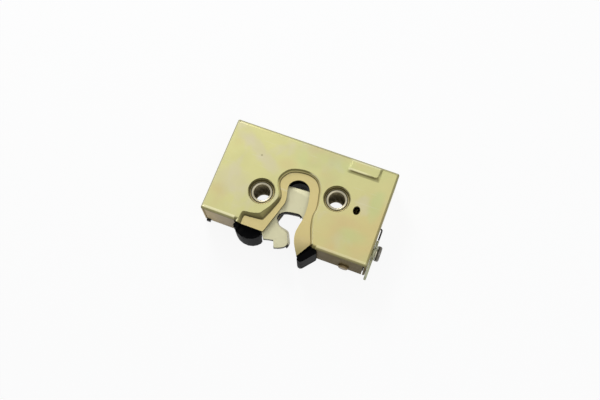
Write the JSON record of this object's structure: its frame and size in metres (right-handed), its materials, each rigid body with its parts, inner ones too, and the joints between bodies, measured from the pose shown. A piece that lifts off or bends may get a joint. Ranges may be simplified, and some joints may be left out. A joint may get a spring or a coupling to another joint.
{
  "type": "car door lock",
  "caption": "Side-door rotary car lock: folded yellow-passivated steel case with a striker slot, latch fork and pawl on threaded sleeves, rubber buffers and a release lever.",
  "frame": {"origin": "middle of the bounding box at its rear face, on the plane the lock lies on", "axes": "+X along the case towards the release lever, +Y across it away from the striker's mouth, +Z out of the pressed face"},
  "size_m": [0.1068, 0.069, 0.0233],
  "materials": {
    "yellow_steel": "yellow passivated zinc, olive gold with faint pink and green patches, satin",
    "sleeve_steel": "turned steel with a bright rim and a dark threaded bore",
    "fork_steel": "pale grey-beige plated steel, satin",
    "dark_steel": "blackened rivet",
    "spring_steel": "dark oiled spring wire",
    "black_plastic": "black moulded plastic",
    "rubber": "black rubber with a slight sheen"
  },
  "bodies": {
    "case": {"case_shell": "yellow_steel", "back_plate": "yellow_steel", "rear_cover": "black_plastic", "fork_sleeve": "sleeve_steel", "pawl_sleeve": "sleeve_steel", "fork_washer": "fork_steel", "pawl_washer": "fork_steel", "fork_spring_bush": "black_plastic", "pawl_spring_bush": "black_plastic", "fork_spring": "spring_steel", "pawl_spring": "spring_steel", "lever_spring": "spring_steel", "end_buffer": "rubber", "left_buffer": "rubber", "right_buffer": "rubber", "lever_rivet": "dark_steel", "lever_washer": "fork_steel", "wall_stud": "yellow_steel", "pawl_stop": "fork_steel"},
    "fork": {"latch_fork": "fork_steel", "fork_liner": "black_plastic"},
    "pawl": {"pawl": "fork_steel"},
    "lever": {"release_lever": "fork_steel", "lever_finger": "fork_steel"}
  },
  "joints": [
    {"name": "fork_pivot", "type": "hinge", "parent": "case", "child": "fork", "pos_m": [-0.02345, -0.0036, 0.0162], "axis": [0, 0, 1], "range_deg": [0, 52], "deforming": ["fork_spring"]},
    {"name": "lever_pivot", "type": "hinge", "parent": "case", "child": "lever", "pos_m": [0.04945, -0.01225, 0.0093], "axis": [1, 0, 0], "range_deg": [-36, 4], "deforming": ["lever_spring"]},
    {"name": "pawl_pivot", "type": "hinge", "parent": "case", "child": "pawl", "pos_m": [0.0192, 0.00711, 0.0162], "axis": [0, 0, 1], "range_deg": [-1.3, 11.1], "deforming": ["pawl_spring"]}
  ],
  "couplings": [
    {"joint": "pawl_pivot", "follows": "lever_pivot", "ratio": -0.3056}
  ]
}
